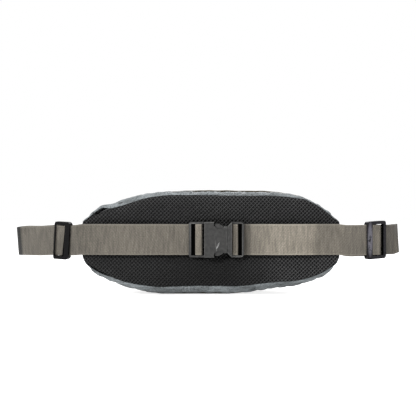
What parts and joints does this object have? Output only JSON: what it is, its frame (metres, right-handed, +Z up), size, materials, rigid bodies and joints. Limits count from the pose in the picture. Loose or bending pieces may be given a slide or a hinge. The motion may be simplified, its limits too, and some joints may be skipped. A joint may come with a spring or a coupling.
{
  "type": "waist pack",
  "caption": "Padded waist pack with a mesh back panel, two zipped compartments and a webbing belt folded back and closed by a side-release buckle.",
  "frame": {"origin": "middle of the flat bottom that the pack stands on", "axes": "+Z up, +X across the width towards the belt side that holds the buckle plug, +Y from the back panel towards the pockets"},
  "size_m": [0.5122, 0.0933, 0.1395],
  "materials": {
    "mesh": "black spacer mesh, small staggered holes",
    "foam": "closed-cell foam pad",
    "lining": "thin plain-weave lining",
    "grey_nylon": "thin crinkled blue-grey nylon",
    "taupe_nylon": "taupe pack cloth",
    "webbing": "taupe ribbed webbing with lighter selvages",
    "piping": "olive-brown cord piping",
    "zip_tape": "black woven zip tape",
    "coil": "black nylon zip coil",
    "zip_metal": "black painted zip slider",
    "buckle_plastic": "dark grey acetal with a satin skin",
    "triglide_plastic": "black moulded plastic",
    "pull_rubber": "black moulded pull"
  },
  "bodies": {
    "pack": {"back_mesh": "mesh", "back_foam": "foam", "back_lining": "lining", "rear_gusset_top": "grey_nylon", "rear_gusset_bottom": "grey_nylon", "top_panel": "taupe_nylon", "front_upper_panel": "taupe_nylon", "front_pocket_panel": "taupe_nylon", "bottom_panel": "taupe_nylon", "right_wing": "grey_nylon", "left_wing": "grey_nylon", "top_piping": "piping", "bottom_piping": "piping", "pocket_divider": "lining", "left_side_seam": "grey_nylon", "right_side_seam": "grey_nylon", "left_belt": "webbing", "right_belt_rear": "webbing", "right_belt_loop": "webbing", "buckle_socket": "buckle_plastic", "main_zip_tapes": "zip_tape", "main_zip_coils": "coil", "main_zip_stops": "zip_metal", "pocket_zip_tapes": "zip_tape", "pocket_zip_coils": "coil", "pocket_zip_stops": "zip_metal"},
    "plug": {"buckle_plug": "buckle_plastic", "right_belt_front": "webbing"},
    "upper_prong": {"upper_prong": "buckle_plastic"},
    "lower_prong": {"lower_prong": "buckle_plastic"},
    "left_triglide": {"left_triglide": "triglide_plastic", "left_belt_tail_end": "webbing"},
    "right_triglide": {"right_triglide": "triglide_plastic", "right_belt_tail_end": "webbing"},
    "main_zip_slider": {"main_zip_slider": "zip_metal"},
    "main_zip_pull": {"main_zip_pull": "pull_rubber"},
    "pocket_zip_slider": {"pocket_zip_slider": "zip_metal"},
    "pocket_zip_pull": {"pocket_zip_pull": "pull_rubber"}
  },
  "joints": [
    {"name": "buckle_release", "type": "slide", "parent": "pack", "child": "plug", "axis": [1, 0, 0], "range_m": [0, 0.032], "deforming": ["upper_prong", "lower_prong", "right_belt_loop"]},
    {"name": "upper_prong_squeeze", "type": "hinge", "parent": "plug", "child": "upper_prong", "pos_m": [0.0236, -0.0432, 0.0812], "axis": [0, -1, 0], "range_deg": [0, 12], "stiffness_Nm_per_rad": 0.3},
    {"name": "lower_prong_squeeze", "type": "hinge", "parent": "plug", "child": "lower_prong", "pos_m": [0.0236, -0.0432, 0.0662], "axis": [0, 1, 0], "range_deg": [0, 12], "stiffness_Nm_per_rad": 0.3},
    {"name": "left_triglide_slide", "type": "slide", "parent": "pack", "child": "left_triglide", "axis": [-0.9397, 0.342, 0], "range_m": [-0.002, 0.04], "deforming": ["left_belt_tail_end"]},
    {"name": "right_triglide_slide", "type": "slide", "parent": "plug", "child": "right_triglide", "axis": [0.9397, 0.342, 0], "range_m": [-0.025, 0.012], "deforming": ["right_belt_tail_end"]},
    {"name": "main_zip_travel", "type": "hinge", "parent": "pack", "child": "main_zip_slider", "pos_m": [0, -0.27638, -0.39927], "axis": [0, 0.8829, -0.4695], "range_deg": [-21.5, 0]},
    {"name": "main_pull_swing", "type": "hinge", "parent": "main_zip_slider", "child": "main_zip_pull", "pos_m": [0.11264, 0.00218, 0.12463], "axis": [0, 0.8829, -0.4695], "range_deg": [0, 150]},
    {"name": "pocket_zip_travel", "type": "hinge", "parent": "pack", "child": "pocket_zip_slider", "pos_m": [0, -0.25756, 0.05614], "axis": [0, 0.1045, -0.9945], "range_deg": [-41.34, 0]},
    {"name": "pocket_pull_swing", "type": "hinge", "parent": "pocket_zip_slider", "child": "pocket_zip_pull", "pos_m": [0.10729, 0.02527, 0.08587], "axis": [0, 0.1045, -0.9945], "range_deg": [0, 150]}
  ]
}
